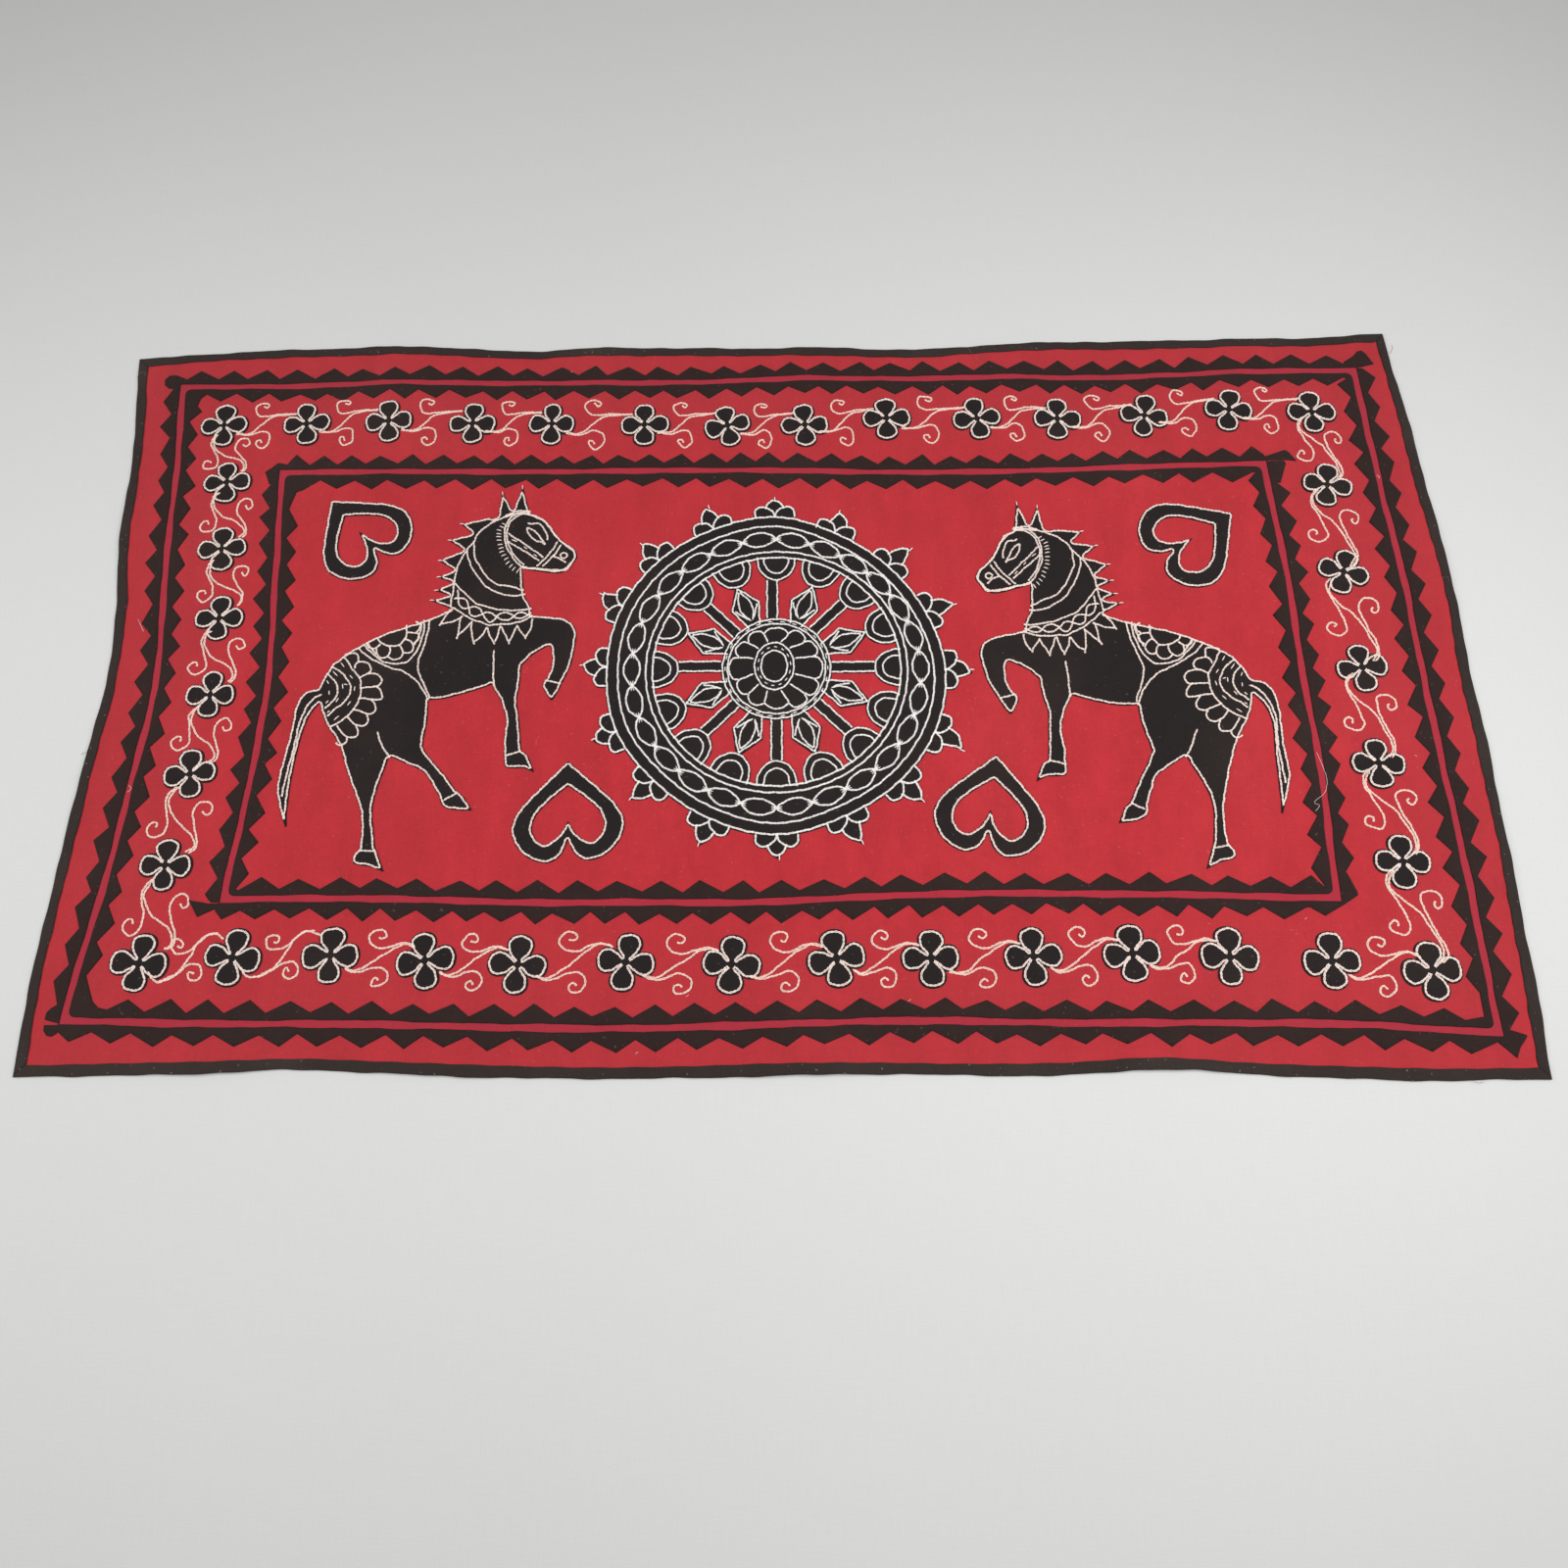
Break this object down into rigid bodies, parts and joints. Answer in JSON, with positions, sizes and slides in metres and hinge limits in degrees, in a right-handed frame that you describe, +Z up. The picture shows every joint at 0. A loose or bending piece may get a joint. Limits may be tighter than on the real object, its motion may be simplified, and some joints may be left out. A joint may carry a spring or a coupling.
{
  "type": "applique tapestry",
  "caption": "Red cotton tapestry laid face up, with black applique horses, wheel, hearts, flowers, two frames of toothed strips and pale chain stitch",
  "frame": {"origin": "middle of the outline's box, at the surface on which the underside lies", "axes": "+X along the long sides to the right, +Y to the top edge, +Z up from the face"},
  "size_m": [1.5262, 0.871, 0.0064],
  "materials": {
    "red_cotton": "matt plain weave",
    "black_cotton": "matt plain weave",
    "binding_cotton": "matt plain weave, washed",
    "cream_thread": "soft cotton thread",
    "white_thread": "soft cotton thread",
    "pink_thread": "soft cotton thread"
  },
  "bodies": {
    "root": {"binding_bottom": "binding_cotton", "binding_left": "binding_cotton", "binding_right": "binding_cotton", "binding_top": "binding_cotton", "flower_bottom_01": "black_cotton", "flower_bottom_02": "black_cotton", "flower_bottom_03": "black_cotton", "flower_bottom_04": "black_cotton", "flower_bottom_05": "black_cotton", "flower_bottom_06": "black_cotton", "flower_bottom_07": "black_cotton", "flower_bottom_08": "black_cotton", "flower_bottom_09": "black_cotton", "flower_bottom_10": "black_cotton", "flower_bottom_11": "black_cotton", "flower_bottom_12": "black_cotton", "flower_bottom_13": "black_cotton", "flower_bottom_14": "black_cotton", "flower_left_01": "black_cotton", "flower_left_02": "black_cotton", "flower_left_03": "black_cotton", "flower_left_04": "black_cotton", "flower_left_05": "black_cotton", "flower_left_06": "black_cotton", "flower_right_01": "black_cotton", "flower_right_02": "black_cotton", "flower_right_03": "black_cotton", "flower_right_04": "black_cotton", "flower_right_05": "black_cotton", "flower_top_01": "black_cotton", "flower_top_02": "black_cotton", "flower_top_03": "black_cotton", "flower_top_04": "black_cotton", "flower_top_05": "black_cotton", "flower_top_06": "black_cotton", "flower_top_07": "black_cotton", "flower_top_08": "black_cotton", "flower_top_09": "black_cotton", "flower_top_10": "black_cotton", "flower_top_11": "black_cotton", "flower_top_12": "black_cotton", "flower_top_13": "black_cotton", "flower_top_14": "black_cotton", "ground_panel": "red_cotton", "heart_lower_left": "black_cotton", "heart_lower_right": "black_cotton", "heart_upper_left": "black_cotton", "heart_upper_right": "black_cotton", "horse_left": "black_cotton", "horse_right": "black_cotton", "inner_strip_bottom_right": "black_cotton", "inner_strip_inside": "black_cotton", "inner_strip_top_left": "black_cotton", "outer_strip_bottom_right": "black_cotton", "outer_strip_inside": "black_cotton", "outer_strip_top_left": "black_cotton", "wheel": "black_cotton"}
  },
  "joints": []
}
